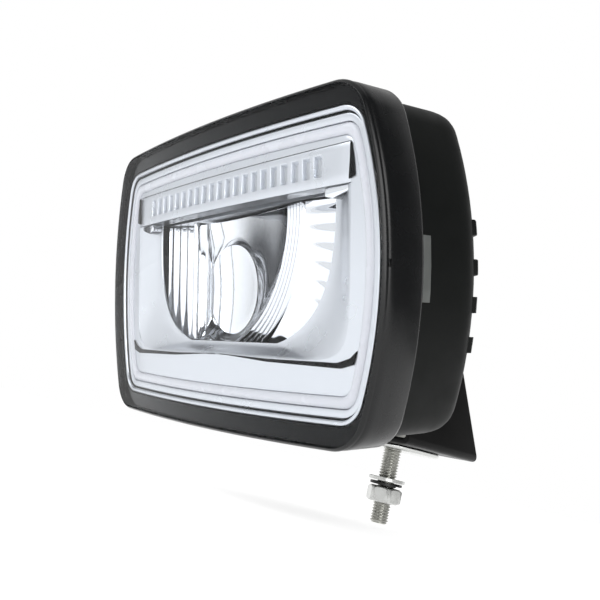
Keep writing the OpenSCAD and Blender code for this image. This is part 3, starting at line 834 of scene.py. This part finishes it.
class FOG_OT_fittings(bpy.types.Operator):
    """Build the screws, the cable gland, the vent and the pivot's bolts"""
    bl_idname = "fog.fittings"
    bl_label = "Fittings"

    def execute(self, context):
        socket = [(hexagon(3.6, 9), 2.9), (hexagon(3.6, 9), 1.0)]
        sides = [(2, -12), (2, 0), (3.9, 0), (4, 0.15), (4, 1.9), (3.8, 2.5), (3.2, 2.95)] + socket
        screws = [place(lathe("screw", sides, 60), Matrix.Translation((x, 62.5, z)) @ ABOUT_Y)
                  for x, z in SCREWS]
        settle(join("cap_screws", screws), HEAD, "head", "bright_zinc", ["housing_screws"])

        gland = Matrix.Translation((30, COVER_BACK, 8)) @ ABOUT_Y
        bore = [(8, 5), (8, 12), (5.5, 12), (5.5, -6), (7.9, -6), (7.9, 0)]
        body = lathe("gland_base", hex_profile(19, 0, 5, 0.9) + bore, 96, True)
        settle(place(body, gland), HEAD, "head", "glass_filled_nylon", ["cable_gland_body"])
        flutes = [(lambda a: 9.6 + 0.25 * math.cos(24 * a), 13.6),
                  (lambda a: 8.6 + 0.2 * math.cos(24 * a), 16.6)]
        mouth = [(7.4, 17.8), (6.6, 18), (5.6, 17.9), (5.5, 12.2), (8.1, 12.1), (8.1, 5.6)]
        cap = lathe("gland_cap", hex_profile(18.2, 5.6, 13.4, 0.9) + flutes + mouth, 96, True)
        settle(place(cap, gland), HEAD, "head", "glass_filled_nylon", ["cable_gland_nut"])
        seal = lathe("gland_seal", [(5.4, -5), (5.45, 17.6), (5.1, 18.3), (4.2, 18.4), (3.5, 17.8),
                                    (3.5, -5)], 64, True)
        settle(place(seal, gland), HEAD, "head", "moulded_rubber", ["cable_gland_grommet"])
        vent = lathe("vent_cap", [(3.9, -3.5), (3.9, 0), (7.6, 0), (8, 0.4), (8, 1.0), (self.scallop, 1.2),
                                  (self.scallop, 2.8), (8, 3.0), (8, 3.7), (7.2, 4.4), (5.5, 4.5),
                                  (5.2, 4.3), (2.2, 4.3), (1.9, 4.5)], 96)
        settle(place(vent, Matrix.Translation((-30, COVER_BACK, 8)) @ ABOUT_Y), HEAD, "head",
               "glass_filled_nylon", ["breather_vent"])

        pivot = Matrix.Translation((0, PIVOT_DEPTH, -PIVOT_DROP)) @ ABOUT_X
        half = shape().bracket_width / 2
        washer = lathe("pivot_rings", [(4.1, half), (8.3, half), (8.5, half + 0.2), (8.5, half + 1.4),
                                       (8.3, half + 1.6), (4.1, half + 1.6)], 72, True)
        settle(mirrored(place(washer, pivot)), HEAD, "head", "bright_zinc", ["pivot_washers"])
        head = half + 1.6
        top = head + 5.3
        bolt = lathe("hex_bolts", [(3.2, 22), (4, 22.8), (4, head)] + hex_profile(13, head, top, 0.9, False)
                     + [(5.6, top), (5.3, top - 0.2)], 96)
        settle(mirrored(place(bolt, pivot)), HEAD, "head", "bright_zinc", ["pivot_bolts"])
        spacer = lathe("friction_rings", [(4.1, 35.5), (11.8, 35.5), (12, 35.7), (12, 36.8), (11.8, 37),
                                          (4.1, 37)], 72, True)
        settle(mirrored(place(spacer, pivot)), HEAD, "head", "glass_filled_nylon",
               ["pivot_spacers"])
        return {"FINISHED"}

    @staticmethod
    def scallop(angle):
        """Radius of the vent's cap, with six notches round it."""
        return 8 - 1.2 * (math.cos(6 * angle) > 0.6)


class FOG_OT_bracket(bpy.types.Operator):
    """Build the bracket, its seat plate and the stud with its washers and nut"""
    bl_idname = "fog.bracket"
    bl_label = "Bracket and stud"

    def execute(self, context):
        s = shape()
        self.strap(s)
        seat = lathe("seat_disc", [(5, 0), (23.9, 0), (24.7, 0.3), (25, 0.9), (25, 1.7), (24.6, 2.3),
                                   (24, 2.5), (5, 2.5)], 128, True)
        settle(seat, BASE, "stud", "bright_zinc", ["seat_plate"])
        self.stud(s)
        washer = lathe("plain_washer", [(5.1, -15.7), (5.3, -15.5), (9.7, -15.5), (10, -15.8), (10, -17.2),
                                        (9.7, -17.5), (5.3, -17.5), (5.1, -17.3)], 96, True)
        settle(washer, BASE, "washers", "bright_zinc", ["flat_washer"])
        section = [(5.15, -0.2), (5.35, 0.0), (8.5, 0.0), (8.75, -0.25), (8.75, -1.2), (8.5, -1.5),
                   (5.35, -1.5), (5.15, -1.3)]
        rings = []
        for t in (i / 72 for i in range(73)):
            a, top = math.radians(6 + 348 * t), -17.75 - 0.7 * t
            rings.append([Vector((r * math.cos(a), r * math.sin(a), top + z)) for r, z in section])
        settle(loft("split_washer", rings), BASE, "washers", "oiled_steel",
               ["spring_washer"])
        thread = [(5.8, -20.5), (5.05, -21.2), (5.05, -28.2), (5.8, -28.9)]
        nut = lathe("plated_nut", hex_profile(17, -28.9, -20.5, 1.2) + thread, 96, True)
        settle(nut, BASE, "nut", "bright_zinc", ["hex_nut"])
        return {"FINISHED"}

    def strap(self, s):
        """A steel strap bent into a U, with tapered ears round the pivot."""
        half, thick, low = s.bracket_width / 2, 3.0, 2.5
        outer = [(half, 70)] + [(half - 4 + x, low + 4 + z) for x, z in arc((0, 0), 4, 0, -DOWN, 10)]
        inner = [(half - thick, 70)] + [(half - thick - 1.2 + x, low + thick + 1.2 + z)
                                        for x, z in arc((0, 0), 1.2, 0, -DOWN, 10)]
        section = outer + [(-x, z) for x, z in reversed(outer)] + [(-x, z) for x, z in inner] + inner[::-1]
        strap = loft("bracket_strap", [[Vector((x, y, z)) for x, z in section] for y in (-60, 60)])
        y0, z0 = [v / MM for v in JOINTS["head_tilt"]["pos_m"][1:]]
        ear = arc((y0, z0), 18, math.radians(29), math.radians(185), 40)
        side = [(25.5, 0)] + ear + [(-30, 0)]
        cutter = loft("ear_shape", [[Vector((x, y, z)) for y, z in side] for x in (-60, 60)])
        boolean(strap, cutter, "INTERSECT")
        hole = lathe("pivot_hole", [(4.05, -60), (4.05, 60)], 48)
        boolean(strap, place(hole, Matrix.Translation((0, y0, z0)) @ ABOUT_X))
        bevel(strap, 0.7, 3, 40)
        settle(strap, BASE, "bracket", "ecoated_steel", ["mounting_bracket"], 35)

    def stud(self, s):
        """A stud with a rolled helical thread below the seat, and its head on the bracket's base."""
        count, step = 48, s.thread_pitch / 8
        top, bottom = -0.2, -s.stud_length
        rings = []
        z = top
        while z > bottom:
            ring = []
            ease = min(1, (z - bottom) / 1.2) * min(1, top - z)
            limit = s.stud_radius - 0.02 - max(0, 1.1 - (z - bottom))
            for i in range(count):
                a = 2 * math.pi * i / count
                phase = (z / s.thread_pitch - i / count) % 1
                crest = min(1, max(0, 1.25 - abs(phase - 0.5) * 3.2))
                r = s.stud_radius - 0.02 - 0.85 * (1 - crest) * (1 if ease > 0.2 else ease * 5)
                r = min(r, limit)
                ring.append(Vector((r * math.cos(a), r * math.sin(a), z)))
            rings.append(ring)
            z -= step
        turns = [2 * math.pi * i / count for i in range(count)]
        sides = ((3.0, 10.1), (5.2, 10.0), (6.0, 9.7), (9.7, 6.0), (10, 5.5), (5.0, 5.5), (4.98, -0.1))
        neck = [[Vector((r * math.cos(a), r * math.sin(a), h)) for a in turns] for r, h in sides]
        stud = loft("threaded_stud", neck + rings)
        settle(stud, BASE, "stud", "plated_thread", ["mounting_stud"], 50)


class FOG_OT_insides(bpy.types.Operator):
    """Give the CAD nodes that stay their finishes"""
    bl_idname = "fog.insides"
    bl_label = "Insides"

    KEPT = {
        "housing_seal": "moulded_rubber", "side_clips": "drawn_strip", "led_shelf": "satin_metallised",
        "main_led_board": "white_mask", "main_leds": "phosphor_silicone", "heat_sink": "extruded_aluminium",
        "position_board": "white_mask", "position_leds": "phosphor_silicone", "driver_board": "green_mask",
        "driver_components": "moulded_epoxy", "pivot_inserts": "turned_brass",
    }

    def execute(self, context):
        for node, surface in self.KEPT.items():
            for slot in frame["nodes"][node].material_slots:
                slot.material = FINISHES[surface]
        return {"FINISHED"}


class FOG_OT_stage(bpy.types.Operator):
    """Set up the floor, the light and the camera"""
    bl_idname = "fog.stage"
    bl_label = "Stage"

    def execute(self, context):
        scene = context.scene
        deselect()
        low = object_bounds()[0]
        bpy.ops.mesh.primitive_grid_add(x_subdivisions=20, y_subdivisions=20, size=12,
                                        location=(0, 0, low.z - 0.0005))
        floor = context.object
        floor.name = "floor"
        # Light table: white acrylic sheet, lit softly from below.
        floor.data.materials.append(finish(
            "light_table", "#f4f4f4", rough=0.7, spread=0.05, patch=200, grain=30, depth=0.2, specular=0.0,
            **{"Emission Color": (1, 1, 1, 1), "Emission Strength": 0.7}))
        floor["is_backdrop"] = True

        world = bpy.data.worlds.new("studio")
        scene.world = world
        world.use_nodes = True
        tree = world.node_tree
        tree.nodes.clear()
        # White all round, with the lamp's right in shade so that its dark side stays dark, and a little
        # less light from above and below than from the level.
        way = add(tree, "TexCoord").outputs["Generated"]
        split = add(tree, "SeparateXYZ", {0: way})
        side = add(tree, "MapRange", {"Value": split.outputs["X"]},
                   {"From Min": 0.1, "From Max": 0.45, "To Min": 1.0, "To Max": 0.12},
                   interpolation_type="SMOOTHSTEP")
        rise = add(tree, "Math", {0: split.outputs["Z"]}, operation="ABSOLUTE")
        high = add(tree, "MapRange", {"Value": rise.outputs[0]},
                   {"From Min": 0.1, "From Max": 0.7, "To Min": 1.0, "To Max": 0.6},
                   interpolation_type="SMOOTHSTEP")
        shade = add(tree, "Math", {0: side.outputs["Result"], 1: high.outputs["Result"]},
                    operation="MULTIPLY")
        seen = add(tree, "LightPath").outputs["Is Camera Ray"]
        level = add(tree, "Math", {0: shade.outputs[0], 1: seen}, operation="MAXIMUM")
        back = add(tree, "Background", {"Strength": level.outputs[0]}, {"Color": (1, 1, 1, 1)})
        add(tree, "OutputWorld", {"Surface": back.outputs[0]})

        for name, spot, aim, power, size in (
                ("key", (-0.5, -1.3, 0.9), (0, 0, 0.1), 5, 0.9),
                ("fill", (1.15, -0.7, 0.35), (0, 0, 0.1), 9, 0.8)):
            deselect()
            bpy.ops.object.light_add(type="AREA", location=spot)
            light = context.object
            light.name = name
            light.data.energy, light.data.size = power, size
            light.rotation_euler = (Vector(aim) - Vector(spot)).to_track_quat("-Z", "Y").to_euler()

        turn = Euler([math.radians(angle) for angle in (92.008, -0.814, 52.662)]).to_matrix().to_4x4()
        deselect()
        bpy.ops.object.camera_add()
        camera = context.object
        camera.data.lens, camera.data.sensor_width = 46.2, 36.0
        camera.data.clip_start = 0.01
        camera.matrix_world = Matrix.Rotation(TILT, 4, "X") @ turn
        camera.location = HEAD @ Vector((308.4, -185.4, -23.74))
        scene.camera = camera
        scene.view_settings.view_transform = "Standard"
        return {"FINISHED"}


class FOG_PT_panel(bpy.types.Panel):
    """Lists the lamp's sizes, its colours and the steps that build it"""
    bl_idname = "FOG_PT_panel"
    bl_label = "Fog lamp"
    bl_space_type = "VIEW_3D"
    bl_region_type = "UI"
    bl_category = "Fog lamp"

    def draw(self, context):
        for group in (context.scene.fog_shape, context.scene.fog_colours):
            box = self.layout.box()
            for key in group.bl_rna.properties.keys():
                if key not in ("rna_type", "name"):
                    box.prop(group, key)
        for step in STEPS:
            self.layout.operator(step.bl_idname)


STEPS = (FOG_OT_finishes, FOG_OT_front, FOG_OT_trim, FOG_OT_mirrors, FOG_OT_housing, FOG_OT_fittings,
         FOG_OT_bracket, FOG_OT_insides, FOG_OT_stage)
CLASSES = (FogShape, FogColours, FOG_PT_panel) + STEPS


def register():
    for cls in CLASSES:
        bpy.utils.register_class(cls)
    bpy.types.Scene.fog_shape = PointerProperty(type=FogShape)
    bpy.types.Scene.fog_colours = PointerProperty(type=FogColours)


def unregister():
    del bpy.types.Scene.fog_shape, bpy.types.Scene.fog_colours
    for cls in reversed(CLASSES):
        bpy.utils.unregister_class(cls)


def main():
    register()
    for step in STEPS:
        group, name = step.bl_idname.split(".")
        getattr(getattr(bpy.ops, group), name)()


if __name__ == "__main__":
    main()
